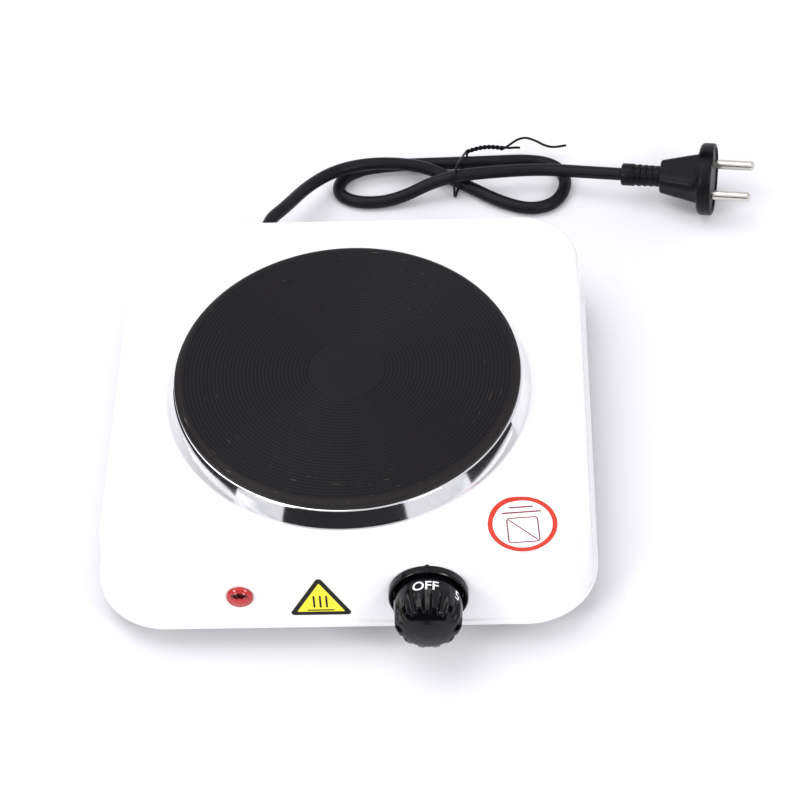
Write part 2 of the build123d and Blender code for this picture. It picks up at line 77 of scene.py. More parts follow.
# %% [markdown]
# ## The camera
#
# Something flat shows best from well above, through a long lens, so that the round plate stays nearly
# round and the far edge isn't much smaller than the near one. The camera stands about a metre away,
# looks down at nearly 50 degrees and is tipped by a few degrees, as a hand-held one is.
# Its three axes are worked out from heading, pitch and roll, which is easier to read than a matrix.

# %% Camera
CAMERA_PLACE = (0.07038, -0.70917, 0.85185)
HEADING, PITCH, ROLL = np.radians([3.80, 48.57, -3.96])
level = np.array([np.cos(HEADING), np.sin(HEADING), 0])
uphill = np.array([-np.sin(HEADING) * np.sin(PITCH), np.cos(HEADING) * np.sin(PITCH), np.cos(PITCH)])
camera_right = np.cos(ROLL) * level + np.sin(ROLL) * uphill
camera_up = -np.sin(ROLL) * level + np.cos(ROLL) * uphill
camera_back = np.cross(camera_right, camera_up)

camera = bpy.data.objects.new("camera", bpy.data.cameras.new("camera"))
camera.data.lens, camera.data.sensor_width = 108, 36
turn = np.eye(4)
turn[:3, :3] = np.stack([camera_right, camera_up, camera_back], 1)
turn[:3, 3] = CAMERA_PLACE
camera.matrix_world = Matrix(turn.tolist())
scene.collection.objects.link(camera)
scene.camera = camera
print("camera looks along", np.round(-camera_back, 3))

# %% [markdown]
# ## Finishes as small node trees
#
# No real surface is one flat colour. Each finish here starts from the same few steps: a noise pattern
# fixed to the object, a ramp that turns it into two or three near colours, a second range for the
# roughness, and a bump so fine that only the highlights show it. Object coordinates keep the pattern in
# place when the piece moves. What is the same all over is set on the shader itself.

# %% Helpers for finishes
def node(tree, kind, settings=None, **inputs):
    """Adds a node, sets its options and its inputs; an input may be a number, a colour or a socket."""
    made = tree.nodes.new("ShaderNode" + kind)
    for key, value in (settings or {}).items():
        setattr(made, key, value)
    for key, value in inputs.items():
        socket = made.inputs[int(key[1:])] if key[0] == "i" and key[1:].isdigit() else made.inputs[key]
        if isinstance(value, bpy.types.NodeSocket):
            tree.links.new(value, socket)
        else:
            socket.default_value = value
    return made


def ramp(tree, fac, *stops):
    """Colour ramp through (place, (red, green, blue)) stops."""
    made = tree.nodes.new("ShaderNodeValToRGB")
    while len(made.color_ramp.elements) < len(stops):
        made.color_ramp.elements.new(0.5)
    for element, (place, colour) in zip(made.color_ramp.elements, stops):
        element.position, element.color = place, (*colour, 1)
    tree.links.new(fac, made.inputs["Fac"])
    return made.outputs["Color"]


def ranged(tree, value, low, high, start=0.0, end=1.0):
    """Carries a value from the span start..end to low..high."""
    made = node(tree, "MapRange", Value=value)
    for key, number in zip(("From Min", "From Max", "To Min", "To Max"), (start, end, low, high)):
        made.inputs[key].default_value = number
    return made.outputs["Result"]


def math(tree, operation, first, second=0.0):
    """One arithmetic step on sockets or numbers."""
    return node(tree, "Math", {"operation": operation}, i0=first, i1=second).outputs[0]


def bump(tree, height, distance, strength=1.0, under=None):
    """Bump of a height pattern, distance in metres; under is the normal of a coarser bump."""
    made = node(tree, "Bump", Height=height, Distance=distance, Strength=strength)
    if under:
        tree.links.new(under, made.inputs["Normal"])
    return made.outputs["Normal"]


def blank(name, **sockets):
    """New material: its node tree, its Principled shader and its Object coordinates."""
    material = bpy.data.materials.new(name)
    material.use_nodes = True
    tree = material.node_tree
    shader = tree.nodes["Principled BSDF"]
    for key, value in sockets.items():
        shader.inputs[key.replace("_", " ")].default_value = value
    return material, tree, shader, tree.nodes.new("ShaderNodeTexCoord").outputs["Object"]


def mottled(name, dark, light, grain=400, rough=(0.4, 0.6), height=0.00002, stretch=(1, 1, 1), **sockets):
    """Finish with soft changes of colour and roughness: noise of `grain` cells a metre, squeezed by
    `stretch`."""
    material, tree, shader, place = blank(name, **sockets)
    place = node(tree, "Mapping", Vector=place, Scale=stretch).outputs[0]
    coarse = node(tree, "TexNoise", Vector=place, Scale=grain * 0.12, Detail=3.0).outputs["Fac"]
    fine = node(tree, "TexNoise", Vector=place, Scale=grain, Detail=4.0, Roughness=0.6).outputs["Fac"]
    both = math(tree, "ADD", math(tree, "MULTIPLY", coarse, 0.6), math(tree, "MULTIPLY", fine, 0.4))
    tree.links.new(ramp(tree, both, (0.35, dark), (0.65, light)), shader.inputs["Base Color"])
    tree.links.new(ranged(tree, both, *rough, 0.3, 0.7), shader.inputs["Roughness"])
    tree.links.new(bump(tree, fine, height), shader.inputs["Normal"])
    return material


# %% [markdown]
# ## The lead comes first
#
# The lead is a 6.4 mm round two-core cord with a soft black sheath. It leaves the rear wall through its
# relief, sinks to the floor in a wide bend, and is folded twice into a flat bow that a wire tie holds.
# It could be drawn as a mesh tube, but a real cord has one smooth centre line, and a quadratic NURBS
# curve with a round bevel is just that: the points below are its control polygon, and it touches the
# middle of each leg. The folds are as tight as a new, tied lead has them.

# %% The lead's route and its sheath
CORD_DIAMETER = 6.4 * MM
CORD_ROUTE = np.array([
    (-45, 133.143, 24), (-45, 139.6, 24), (-37.4, 152, 20.8), (-27.4, 173.4, 14.8), (-13.4, 188.1, 11.8),
    (6.1, 193.5, 11.2), (29.4, 192.9, 9), (44.1, 187.1, 5.4), (78.8, 164.3, 3.2), (98.3, 167.5, 3.2),
    (105.1, 186.8, 3.2), (94.1, 201.4, 3.2), (57, 198, 5.4), (6.5, 199.8, 3.2), (-10.6, 192.4, 3.2),
    (-13.9, 179.6, 3.2), (-2.9, 172, 3.2), (16.4, 172.9, 3.4), (40.5, 180, 12.4), (65.7, 183.2, 12.4),
    (91.5, 184.6, 12.2), (112.595, 179.916, 13.875), (131.2, 176.3, 15.2)]) * MM

line = bpy.data.curves.new("power_lead", "CURVE")
line.dimensions = "3D"
line.bevel_depth = CORD_DIAMETER / 2
line.bevel_resolution = 8
line.resolution_u = 12
spline = line.splines.new("NURBS")
spline.points.add(len(CORD_ROUTE) - 1)
spline.points.foreach_set("co", np.c_[CORD_ROUTE, np.ones(len(CORD_ROUTE))].ravel())
spline.order_u = 3
spline.use_endpoint_u = True
lead = bpy.data.objects.new("power_lead", line)
scene.collection.objects.link(lead)
lead_legs = np.linalg.norm(np.diff(CORD_ROUTE, axis=0), axis=1)
print("lead's legs added up, mm:", round(float(lead_legs.sum() / MM)))

# %% Sheath finish
sheath = mottled("soft_black_sheath", (0.0025, 0.0025, 0.004), (0.006, 0.006, 0.008), 900,
                 (0.34, 0.46), 0.00003, Specular_IOR_Level=0.16)
line.materials.append(sheath)
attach(lead, "housing")
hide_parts("power_cord")

# %% [markdown]
# ## Grids of points become surfaces
#
# Every new piece is a grid: one parameter runs round or across it, the other along its outline. The
# corners of an outline are rounded by tangent arcs, because a pressed, turned or moulded edge is never
# knife-sharp, and those arcs are what catch the light. Grid points that fall together, as on an axis,
# are merged, which closes the poles, and the faces are then turned outwards.

# %% Helpers for shapes
def rounded(*corners, closed=False, fine=14.0):
    """Outline through (x, y, radius) corners: straight runs joined by tangent arcs, with a point every
    `fine` degrees."""
    spots = np.array([c[:2] for c in corners], float)
    out = []
    for k, (x, y, radius) in enumerate(corners):
        if radius == 0 or (not closed and k in (0, len(corners) - 1)):
            out.append(spots[k][None])
            continue
        back, ahead = spots[k - 1] - spots[k], spots[(k + 1) % len(corners)] - spots[k]
        back, ahead = back / np.linalg.norm(back), ahead / np.linalg.norm(ahead)
        angle = np.pi - np.arccos(np.clip(back @ ahead, -1, 1))
        reach = radius * np.tan(angle / 2)
        centre = spots[k] + (back + ahead) / np.linalg.norm(back + ahead) * radius / np.cos(angle / 2)
        share = np.linspace(0, 1, max(3, int(np.degrees(angle) / fine + 0.01) + 2))[:, None]
        first, last = spots[k] + back * reach - centre, spots[k] + ahead * reach - centre
        arc = np.sin((1 - share) * angle) * first + np.sin(share * angle) * last
        out.append(centre + arc / np.sin(angle))
    return np.concatenate(out)


def divided(points, step):
    """The same outline with no run longer than step."""
    out = [points[:1]]
    for start, end in zip(points, points[1:]):
        count = int(np.ceil(np.linalg.norm(end - start) / step))
        out.append(start + (end - start) * np.linspace(0, 1, max(count, 1) + 1)[1:, None])
    return np.concatenate(out)


def smooth(value):
    """0 below 0, 1 above 1 and an S-curve between: 3 v squared minus 2 v cubed."""
    value = np.clip(value, 0, 1)
    return value * value * (3 - 2 * value)


UPRIGHT = np.eye(3)


def turned(profile, origin=(0, 0, 0), axes=UPRIGHT, steps=256, shape=None):
    """Profile of (radius, height), in mm, carried round an axis: x = r cos a, y = r sin a. `shape` may change
    radius and height with the angle. axes holds the local X, Y and Z as rows."""
    angle = np.linspace(0, 2 * np.pi, steps, endpoint=False)[:, None]
    radius, height = np.broadcast_arrays(profile[None, :, 0], profile[None, :, 1] + 0 * angle)
    if shape:
        radius, height = shape(angle, radius, height)
    local = np.stack([radius * np.cos(angle), radius * np.sin(angle), height], -1)
    return local * MM @ axes + np.array(origin), (True, bool(profile[0, 0] > 0))


def tube(path, radius, closed=False, steps=16, origin=(0, 0, 0), axes=UPRIGHT):
    """Round tube along points in mm: a circle carried along them, its frame turned as little as possible."""
    path = np.array(path, float)
    tangent = (np.roll(path, -1, 0) - np.roll(path, 1, 0)) if closed else np.gradient(path, axis=0)
    tangent /= np.linalg.norm(tangent, axis=1)[:, None]
    side = [np.cross(tangent[0], (0.3, 0.1, 1.0))]
    for t in tangent:
        side.append(side[-1] - (side[-1] @ t) * t)
        side[-1] /= np.linalg.norm(side[-1])
    side = np.array(side[1:])
    other = np.cross(tangent, side)
    angle = np.linspace(0, 2 * np.pi, steps, endpoint=False)[None, :, None]
    ring = path[:, None] + radius * (np.cos(angle) * side[:, None] + np.sin(angle) * other[:, None])
    if not closed:
        middle = lambda k: np.repeat(path[k][None, None], steps, 1)
        ring = np.concatenate([middle(0), ring, middle(-1)])
    return ring * MM @ axes + np.array(origin), (closed, True)


def piece(name, patches, finish, body, stands_for=(), sharp=32):
    """Puts grids into one mesh, merges what meets, turns faces outwards and lets the piece ride on its
    body."""
    spots, faces, count = [], [], 0
    for points, (wrap_rows, wrap_columns) in patches:
        rows, columns = points.shape[:2]
        i = np.arange(rows if wrap_rows else rows - 1)[:, None]
        j = np.arange(columns if wrap_columns else columns - 1)[None]
        ahead, beside = (i + 1) % rows, (j + 1) % columns
        quads = np.broadcast_arrays(i * columns + j, ahead * columns + j,
                                    ahead * columns + beside, i * columns + beside)
        faces.append(np.stack(quads, -1).reshape(-1, 4) + count)
        spots.append(points.reshape(-1, 3))
        count += rows * columns
    mesh = bpy.data.meshes.new(name)
    mesh.from_pydata(np.concatenate(spots).tolist(), [], np.concatenate(faces).tolist())
    work = bmesh.new()
    work.from_mesh(mesh)
    bmesh.ops.remove_doubles(work, verts=work.verts, dist=2e-7)
    bmesh.ops.recalc_face_normals(work, faces=work.faces)
    work.to_mesh(mesh)
    work.free()
    return settle(mesh, name, finish, body, stands_for, sharp)


def settle(mesh, name, finish, body, stands_for=(), sharp=32):
    """Smooth shading with creases past `sharp` degrees, a finish and a body to ride on."""
    mesh.shade_smooth()
    mesh.set_sharp_from_angle(angle=np.radians(sharp))
    mesh.materials.append(finish)
    made = bpy.data.objects.new(name, mesh)
    scene.collection.objects.link(made)
    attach(made, body)
    if stands_for:
        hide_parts(*stands_for)
    print(name, "has", len(mesh.polygons), "faces")
    return made


# %% [markdown]
# ## The enamelled shell
#
# The box is one pressing of 0.8 mm steel sheet, dipped in white enamel and fired. Its walls flare by 5
# degrees so that it leaves the press tool, and end in a small outward bead. The top has four sunk corner
# fields round a raised round one. A box with bevelled edges would miss the soft slopes of the fields, so
# the whole skin is one grid instead: one parameter is the angle about the plate, the other runs from the
# round hole across the top, over the edge, down the wall and back up on the inside.

# %% The shell's outline, seen from above
shell_low, shell_high = (np.array(v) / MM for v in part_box("top_shell"))
plate_low, plate_high = (np.array(v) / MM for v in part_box("cooking_plate"))
PLATE_AT = (plate_low + plate_high)[:2] / 2
SHELL_AT = (shell_low + shell_high)[:2] / 2
SHEET, LEAN, BEAD_OUT, BEAD_HIGH = 0.8, np.radians(5), 1.0, 2.8
SHELL_TOP, SHELL_LOW = shell_high[2], shell_low[2]
flare = (SHELL_TOP - SHELL_LOW) * np.tan(LEAN)
TOP_HALF = (shell_high - shell_low)[:2] / 2 - flare - BEAD_OUT
CORNER, EDGE, HOLE = 28.0, 4.0, 76.5


def square_distance(x, y, half, radius):
    """Distance to a rounded rectangle about the origin, negative inside: the usual box distance with its
    corners pulled in by the radius."""
    out = np.stack([np.abs(x) - half[0] + radius, np.abs(y) - half[1] + radius])
    return np.hypot(*np.maximum(out, 0)) + np.minimum(out.max(0), 0) - radius


def reach(angle, inset, half=TOP_HALF, radius=CORNER, shift=PLATE_AT - SHELL_AT):
    """How far a ray at that angle runs from the axis until it is `inset` inside the edge of the rounded
    rectangle whose middle is `shift` away, found by halving the span forty times."""
    size = np.broadcast(angle, inset).shape
    near, far = np.zeros(size), np.full(size, 300.0)
    for _ in range(40):
        half_way = (near + far) / 2
        x, y = half_way * np.cos(angle) + shift[0], half_way * np.sin(angle) + shift[1]
        inside = square_distance(x, y, half, radius) < -inset
        near, far = np.where(inside, half_way, near), np.where(inside, far, half_way)
    return near


print("top edge, mm:", np.round(2 * TOP_HALF, 1), "plate axis:", np.round(PLATE_AT, 2))

# %% The sunk corner fields
FIELD_HALF, FIELD_CORNER, FIELD_ARC = 96.0, 20.0, 94.8
FIELD_GAP, FIELD_DEPTH = 24.0, 1.2
EDGE_SLOPE, ARC_SLOPE, BLEND = 1.7, 5.0, 7.0


def lesser(a, b, blend=BLEND):
    """Smaller of two values with the corner between them rounded over `blend`."""
    h = np.maximum(blend - np.abs(a - b), 0) / blend
    return np.minimum(a, b) - h * h * blend / 4


def sunk(x, y):
    """Depth of the fields at a point measured from the plate's axis: an S-curve of the distance inside the
    square outline and the two gaps, times a gentler one of the distance outside the raised round field."""
    inside = -square_distance(x, y, (FIELD_HALF, FIELD_HALF), FIELD_CORNER)
    inside = lesser(lesser(inside, np.abs(x) - FIELD_GAP), np.abs(y) - FIELD_GAP)
    return FIELD_DEPTH * smooth(inside / EDGE_SLOPE) * smooth((np.hypot(x, y) - FIELD_ARC) / ARC_SLOPE)


# %% The shell as one grid
RAYS = 680                  # enough for the slopes of the fields, and few enough for the printed mesh
angle = np.linspace(0, 2 * np.pi, RAYS, endpoint=False)[None]
bead_top = SHELL_LOW + BEAD_HIGH
at_bead = -(SHELL_TOP - bead_top) * np.tan(LEAN)
FLAT_END, FLAT_STEPS = 15.0, 28
skin = rounded((FLAT_END, SHELL_TOP, 0), (0, SHELL_TOP, EDGE), (at_bead, bead_top, 0.9),
               (-flare - BEAD_OUT, bead_top, 0.6), (-flare - BEAD_OUT, SHELL_LOW, 0.3),
               (-flare + SHEET, SHELL_LOW, 0.3), (SHEET, SHELL_TOP - SHEET, EDGE - SHEET),
               (FLAT_END, SHELL_TOP - SHEET, 0))
flat_run = np.linspace(0, 1, FLAT_STEPS)[:, None]
top_rows = divided(skin[:2], 0.42)
wall_rows = divided(skin[1:], 6.0)[1:]
rows = np.concatenate([top_rows, wall_rows])
outside = reach(angle, rows[:, :1])
outside_z = rows[:, 1:] + 0 * angle
across = HOLE + (outside[:1] - HOLE) * flat_run[:-1]
radius = np.concatenate([across, outside, across[::-1]])
height = np.concatenate([SHELL_TOP + 0 * across, outside_z, SHELL_TOP - SHEET + 0 * across])
x, y = radius * np.cos(angle), radius * np.sin(angle)
height = height - np.where(height > SHELL_TOP - SHEET - 0.01, sunk(x, y), 0)
shell_grid = np.stack([x + PLATE_AT[0], y + PLATE_AT[1], height], -1) * MM
print("shell grid:", shell_grid.shape)

# %% [markdown]
# ### White enamel
#
# Fired enamel is glass on steel: nearly pure white, with a clear gloss and a very slight ripple left by
# the wet coat, like orange peel. A plain white shader would look like paper. The ripple is a low bump of
# about a hundredth of a millimetre, and the roughness changes a little with handling.

# %% Enamel
enamel = mottled("white_enamel", (0.775, 0.775, 0.79), (0.80, 0.80, 0.812), 260, (0.18, 0.25), 0.000004,
                 Coat_Weight=0.35, Coat_Roughness=0.06)
piece("enamel_shell", [(shell_grid, (True, True))], enamel, "housing", ["top_shell"],
      sharp=40)

# %% [markdown]
# ## The cast-iron plate
#
# The plate is cast, then turned: 33 fine rings are cut round a plain middle so that a pan's bottom doesn't
# stick to it by suction. Each ring is a real shallow groove here. The profile, half a section of the
# plate, is carried round the axis; it goes from the middle of the top to the middle of the underside.

# %% Plate
PLATE_R = (plate_high - plate_low)[0] / 2
TOP, RIM_LOW, UNDER = plate_high[2], 55.3, plate_low[2]
COIL_ROOF, BOSS_ROOF, STUD_ROOF, STUD_R = 52.3, 51.3, 54.0, 3.05
GROOVES, FIRST_GROOVE, PITCH, GROOVE_DEEP = 33, 17.6, 1.725, 0.3
along = np.linspace(FIRST_GROOVE - PITCH / 2, FIRST_GROOVE + (GROOVES - 0.5) * PITCH, GROOVES * 6 + 1)
phase = np.abs((along - FIRST_GROOVE + PITCH / 2) / PITCH % 1 - 0.5) * 2      # 0 in a groove, 1 between two
grooved = np.c_[along, TOP - GROOVE_DEEP * (1 - smooth(phase * 1.5))]
rim = rounded((74.1, TOP, 0), (75.6, TOP, 1.5), (PLATE_R, TOP - 1.3, 1.0), (PLATE_R, RIM_LOW, 0.4),
              (75.0, RIM_LOW, 0.3), (75.0, UNDER, 0.5), (72.5, UNDER, 0.5), (72.5, COIL_ROOF, 1),
              (24, COIL_ROOF, 1), (24, UNDER, 0.5), (21.5, UNDER, 0.5), (21.5, BOSS_ROOF, 1),
              (9, BOSS_ROOF, 1), (9, UNDER, 0.5), (STUD_R, UNDER, 0.3), (STUD_R, STUD_ROOF, 0),
              (0, STUD_ROOF, 0))
plate_profile = np.concatenate([[(0, TOP)], [(8, TOP)], grooved, rim])
plate_grid = turned(plate_profile, (*PLATE_AT * MM, 0), steps=288)
print("plate's profile has", len(plate_profile), "points")

# %% [markdown]
# ### Black heat-proof coating
#
# The iron wears a thin black coating, browner where the lathe left a crest and rubbed to grey metal in
# specks and short scratches near the rim. The pattern therefore needs the distance from the axis: the
# length of the flat part of the position. Rings of tone come from noise read along that distance alone,
# and the scratches from noise that is squeezed along it, so that they run round the plate.

# %% Coated iron
WEAR_AND_EDGE_BAND_COLOUR = (0.24, 0.20, 0.18)


def coated_iron():
    """Black coating with rings of tone, scratches that run round, specks and a paler band on the rim's edge:
    a mix of the coating's two tones with a pale brown-grey, by the larger of scratches and specks plus the band."""
    material, tree, shader, place = blank("coated_iron", Specular_IOR_Level=0.17)
    flat = node(tree, "Mapping", Vector=place, Location=(*-PLATE_AT * MM, 0), Scale=(1, 1, 0)).outputs[0]
    distance = node(tree, "VectorMath", {"operation": "LENGTH"}, i0=flat).outputs["Value"]
    parts = node(tree, "SeparateXYZ", Vector=flat).outputs
    bearing = math(tree, "ARCTAN2", parts[1], parts[0])
    polar = node(tree, "CombineXYZ", X=math(tree, "MULTIPLY", distance, 1500.0),
                 Y=math(tree, "MULTIPLY", bearing, 6.0)).outputs[0]
    rings = node(tree, "TexNoise", {"noise_dimensions": "1D"},
                 W=math(tree, "MULTIPLY", distance, 650.0), Detail=3.0).outputs["Fac"]
    grain = node(tree, "TexNoise", Vector=place, Scale=1400.0, Detail=4.0).outputs["Fac"]
    patches = node(tree, "TexNoise", Vector=place, Scale=30.0, Detail=3.0).outputs["Fac"]
    tone = math(tree, "ADD", math(tree, "MULTIPLY", rings, 0.5), math(tree, "MULTIPLY", grain, 0.5))
    base = ramp(tree, tone, (0.32, (0.0020, 0.0012, 0.0022)), (0.7, (0.0060, 0.0044, 0.0060)))
    scratch = node(tree, "TexNoise", Vector=polar, Scale=1.0, Detail=2.0).outputs["Fac"]
    near_rim = ranged(tree, distance, 0.0, 1.0, 0.055, 0.0765)
    worn = math(tree, "MULTIPLY", ranged(tree, scratch, 0.0, 1.0, 0.70, 0.78), near_rim)
    specks = math(tree, "MULTIPLY", ranged(tree, grain, 0.0, 0.8, 0.70, 0.76),
                  ranged(tree, patches, 0.1, 1.0, 0.5, 0.62))
    # a faint paler band on the rim's rounded edge, growing towards the edge and broken up in patches
    edge = math(tree, "MULTIPLY", ranged(tree, distance, 0.0, 0.07, 0.0742, 0.0762), patches)
    wear_and_edge_band = math(tree, "MINIMUM", math(tree, "ADD", math(tree, "MAXIMUM", worn, specks), edge), 1.0)
    colour = node(tree, "Mix", {"data_type": "RGBA"}, Factor=wear_and_edge_band)
    tree.links.new(base, colour.inputs["A"])
    colour.inputs["B"].default_value = (*WEAR_AND_EDGE_BAND_COLOUR, 1)
    tree.links.new(colour.outputs["Result"], shader.inputs["Base Color"])
    tree.links.new(ranged(tree, tone, 0.46, 0.62, 0.3, 0.7), shader.inputs["Roughness"])
    tree.links.new(bump(tree, grain, 0.00003, 0.7), shader.inputs["Normal"])
    return material


iron = coated_iron()
piece("iron_plate", [plate_grid], iron, "housing", ["cooking_plate"], sharp=50)

# %% [markdown]
# ## The chromed ring
#
# A thin spun ring covers the gap between plate and shell and catches what boils over. It is a steep cone
# that rolls over at the top, where the plate's rim rests on it, and turns out slightly at its foot. Chrome
# shows nothing but its surroundings, so the roll and the foot matter: they split the reflection into bands.

# %% Ring
ring_low, ring_high = (np.array(v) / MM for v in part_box("trim_ring"))
RING_FOOT, RING_TOP, RING_LOW = (ring_high - ring_low)[0] / 2, ring_high[2], ring_low[2]
RING_SHEET, RING_SHOULDER, RING_BORE = 0.6, RING_FOOT - 4.2, 75.4
ring = rounded((RING_FOOT - 0.75, RING_LOW, 0.15), (RING_FOOT, RING_LOW, 0.15),
               (RING_FOOT - 0.35, RING_LOW + 0.9, 1.5), (RING_SHOULDER, RING_TOP - 0.05, 1.5),
               (RING_BORE, RING_TOP, 0.2), (RING_BORE, RING_TOP - RING_SHEET, 0.2),
               (RING_SHOULDER - 0.55, RING_TOP - RING_SHEET, 0.9), closed=True, fine=9)
chrome = mottled("bright_chrome", (0.78, 0.78, 0.80), (0.88, 0.88, 0.89), 300, (0.045, 0.10), 0.000002,
                 Metallic=1.0)
piece("chrome_ring", [turned(divided(ring, 2.0), (*PLATE_AT * MM, 0), steps=288)], chrome, "housing",
      ["trim_ring"], sharp=60)

# %% [markdown]
# ## Places on the front wall
#
# The wall leans, so knob, lamp and sign each get a small frame of their own: its Z points straight out of
# the wall, its X to the right and its Y up along the wall. The knob's axis is the thermostat's, so the
# frame is taken from the dial's joint.

# %% Frame of the front wall
dial = next(j for j in frame["joints"] if j["name"] == "dial_turn")
OUT = -np.array(dial["axis"])
OUT /= np.linalg.norm(OUT)
RIGHT = np.array([1.0, 0, 0])
WALL = np.stack([RIGHT, np.cross(OUT, RIGHT), OUT])
KNOB_AT = np.array(dial["pos_m"])


def on_wall(right, up):
    """Point on the wall, in metres, from the knob's centre: `right` and `up` in mm."""
    return KNOB_AT + (WALL[0] * right + WALL[1] * up) * MM


print("knob centre, mm:", np.round(KNOB_AT / MM, 2), "wall faces", np.round(OUT, 3))

# %% [markdown]
# ## Knob and bezel
#
# The knob is a phenolic moulding: a smooth skirt that carries the marks, twelve flutes cut into its outer
# half for the fingers, and a low polished dome. It is a turned outline whose radius also depends on the
# angle: twelve soft-edged steps of the cosine of twelve times the angle, deeper towards the end. The
# bezel behind it is a dished ring with one small ridge at the top, which the marks are read against.

# %% Knob
KNOB_R, KNOB_END, FLUTES, FLUTE_DEEP = 14.6, 23.3, 12, 1.9
SKIRT_LOW, SKIRT_BORE, SHAFT_R, SHAFT_DEEP = 2.6, 12.6, 3.05, 15.2


def fluted(angle, radius, height):
    """Radius less the flutes: a soft step of cos(12 a), times a ramp along the axis."""
    wave = smooth((np.cos(FLUTES * angle) + 0.55) / 1.3)
    ramp_in = smooth((height - 9.0) / 8.0) * smooth((radius - 10.6) / 1.6)
    return radius - FLUTE_DEEP * wave * ramp_in, height


knob_outside = rounded((0, KNOB_END, 0), (3.6, KNOB_END - 0.05, 14), (9.4, KNOB_END - 1.5, 12),
                       (12.9, KNOB_END - 3.4, 2.6), (14.3, KNOB_END - 6.4, 3.2), (KNOB_R, 12.5, 3),
                       (KNOB_R, SKIRT_LOW, 0.4), (SKIRT_BORE, SKIRT_LOW, 0.3), (SKIRT_BORE, 4.5, 0), fine=7)
knob_inside = rounded((SKIRT_BORE, 4.5, 0), (11, 5.5, 0.5), (11, 17, 1), (5, 17, 1), (5, 3.2, 0.3),
                      (SHAFT_R, 3.2, 0.2), (SHAFT_R, SHAFT_DEEP, 0), (0, SHAFT_DEEP, 0))
knob_profile = np.concatenate([divided(knob_outside, 0.55), divided(knob_inside[1:], 3.0)])
phenolic = mottled("black_phenolic", (0.0015, 0.0015, 0.0022), (0.003, 0.003, 0.004), 700,
                   (0.09, 0.15), 0.000005, Specular_IOR_Level=0.26)
piece("fluted_knob", [turned(knob_profile, KNOB_AT, WALL, 432, fluted)], phenolic, "dial",
      ["knob"], sharp=55)

# %% Bezel
RIDGE_HALF, RIDGE_SIDE = 0.062, 0.022       # in radians about the axis
RIDGE_OUT, RIDGE_FORWARD = 0.75, 0.35


def ridged(angle, radius, height):
    """Adds the index ridge at the top: a flat-topped bump across the rim, outwards and a little forward."""
    near_top = smooth((RIDGE_HALF - np.abs(angle - np.pi / 2)) / RIDGE_SIDE) * smooth((radius - 14.8) / 0.5)
    return (radius + RIDGE_OUT * near_top * smooth((radius - 15.8) / 0.8),
            height + RIDGE_FORWARD * near_top * smooth(height / 2))


bezel = rounded((6.5, 0, 0), (17.1, 0, 0.2), (17.0, 3.2, 0.35), (16.5, 3.8, 0.3), (15.3, 3.1, 0.3),
                (15.1, 1.0, 0.3), (6.5, 1.0, 0.2), closed=True)
bezel = np.concatenate([bezel, bezel[:1]])
piece("dial_bezel", [turned(divided(bezel, 0.8)[:-1], KNOB_AT, WALL, 720, ridged)], phenolic, "housing",
      ["knob_bezel"], sharp=45)

# %% [markdown]
# ### The marks
#
# OFF and the digits 1 to 5 stand round the skirt, pad-printed in white, the digits about 55 degrees
# apart. Flat letters are cut from a plain typeface, divided finely, and wrapped: the distance along the
# writing becomes an angle, and the letter's height runs along the axis, with its foot towards the fingers.

# %% Marks wrapped round the skirt
MARK_HIGH, MARK_AT, INK, CAPITAL = 4.7, 6.4, 0.05, 0.72      # a capital is 0.72 of the type's size
# Each mark's turn to the left of the ridge, in degrees.
MARK_TURNS = {"OFF": 3.0, "1": 79.0, "2": 134.0, "3": 189.0, "4": 244.0, "5": 302.0}
LONGEST_EDGE = 0.45


def letters(word, size):
    """Mesh data of a word in the built-in typeface, centred, in mm: vertices and faces."""
    writing = bpy.data.curves.new("writing", "FONT")
    writing.body, writing.align_x, writing.size = word, "CENTER", size
    writing.offset = size * 0.012
    holder = bpy.data.objects.new("writing", writing)
    mesh = bpy.data.meshes.new_from_object(holder)
    work = bmesh.new()
    work.from_mesh(mesh)
    bmesh.ops.triangulate(work, faces=work.faces)
    for _ in range(3):
        long_edges = [e for e in work.edges if e.calc_length() > LONGEST_EDGE]
        bmesh.ops.subdivide_edges(work, edges=long_edges, cuts=1)
        bmesh.ops.triangulate(work, faces=work.faces)
    work.to_mesh(mesh)
    work.free()
    bpy.data.objects.remove(holder)
    spots = np.zeros(len(mesh.vertices) * 3)
    mesh.vertices.foreach_get("co", spots)
    return spots.reshape(-1, 3), [tuple(p.vertices) for p in mesh.polygons]


def wrapped_marks(words):
    """Each word wrapped on the skirt: angle = 90 degrees + its turn from the ridge - x / R, and height =
    start - y."""
    all_spots, all_faces = [], []
    count = 0
    for word, turned_by in words.items():
        spots, faces = letters(word, MARK_HIGH / CAPITAL)
        bearing = np.pi / 2 + np.radians(turned_by) - spots[:, 0] / KNOB_R
        height = MARK_AT + MARK_HIGH - spots[:, 1]
        radius = KNOB_R + INK
        local = np.stack([radius * np.cos(bearing), radius * np.sin(bearing), height], -1)
        all_spots.append(local * MM @ WALL + KNOB_AT)
        all_faces += [tuple(v + count for v in f) for f in faces]
        count += len(spots)
    return np.concatenate(all_spots), all_faces


mark_spots, mark_faces = wrapped_marks(MARK_TURNS)
mark_mesh = bpy.data.meshes.new("dial_marks")
mark_mesh.from_pydata(mark_spots.tolist(), [], mark_faces)
white_ink = mottled("white_ink", (0.80, 0.80, 0.80), (0.90, 0.90, 0.90), 900, (0.4, 0.55), 0.00001)
settle(mark_mesh, "dial_marks", white_ink, "dial")

# %% [markdown]
# ## The pilot lamp
#
# The lamp is a snap-in lens of clear red plastic with a rounded flange and a jewel-cut dome, so that the
# neon bulb behind it sparkles. Its dome is a turned outline with eight shallow facets round it. Red
# plastic lets some light in, so the finish mixes a transparent part with a bright coat, and a dark
# crescent of painted shade on the upper half stands for the unlit, empty sleeve behind the dome.

# %% Lens
lens_low, lens_high = (np.array(v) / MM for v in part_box("lamp_lens"))
LAMP_UP = -0.3
LAMP_AT = on_wall((lens_low + lens_high)[0] / 2 - KNOB_AT[0] / MM, LAMP_UP)
FACETS, FACET_DEEP = 8, 0.12


